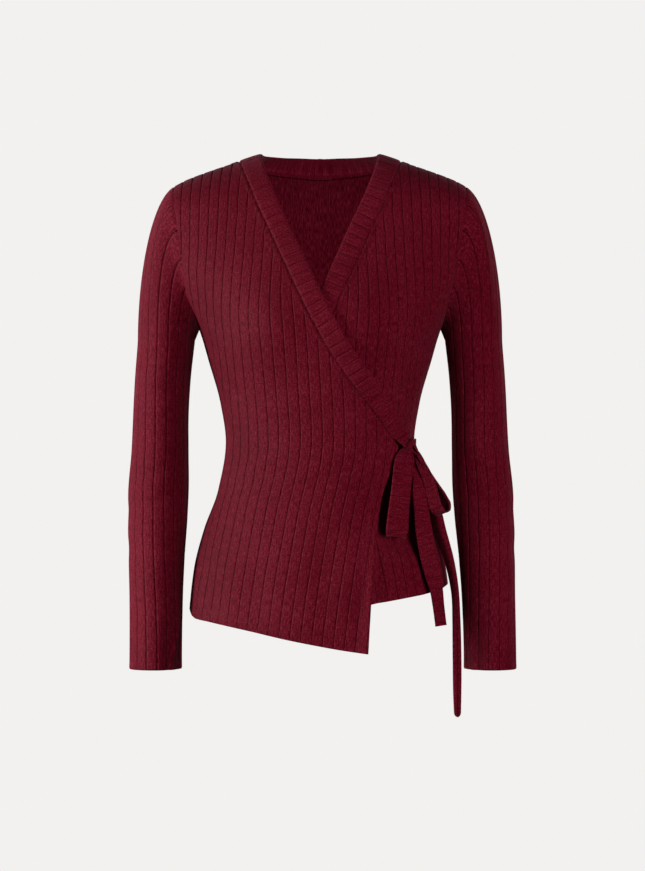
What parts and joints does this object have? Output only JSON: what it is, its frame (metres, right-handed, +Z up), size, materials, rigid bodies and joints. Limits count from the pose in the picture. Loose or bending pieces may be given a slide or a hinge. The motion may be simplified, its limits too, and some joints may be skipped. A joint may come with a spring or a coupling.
{
  "type": "wrap top",
  "caption": "Long-sleeved wrap top in wine-red ribbed jersey with a deep V neck, crossed fronts, a slanting hem with a pointed corner and a bow tied at the wearer's left waist.",
  "frame": {"origin": "midway between the two shoulder seams, where the wearer's shoulders carry the top", "axes": "+Z up, the front faces -Y, +X is the wearer's left"},
  "size_m": [0.4837, 0.2391, 0.6996],
  "materials": {
    "rib_jersey": "matte"
  },
  "bodies": {
    "root": {"back": "rib_jersey", "front_right": "rib_jersey", "front_left": "rib_jersey", "sleeve_right": "rib_jersey", "sleeve_left": "rib_jersey", "neckband": "rib_jersey", "tie_front_root": "rib_jersey", "tie_side_root": "rib_jersey", "knot": "rib_jersey", "loop_front": "rib_jersey", "loop_side": "rib_jersey", "tail_short": "rib_jersey", "tail_long": "rib_jersey"}
  },
  "joints": []
}
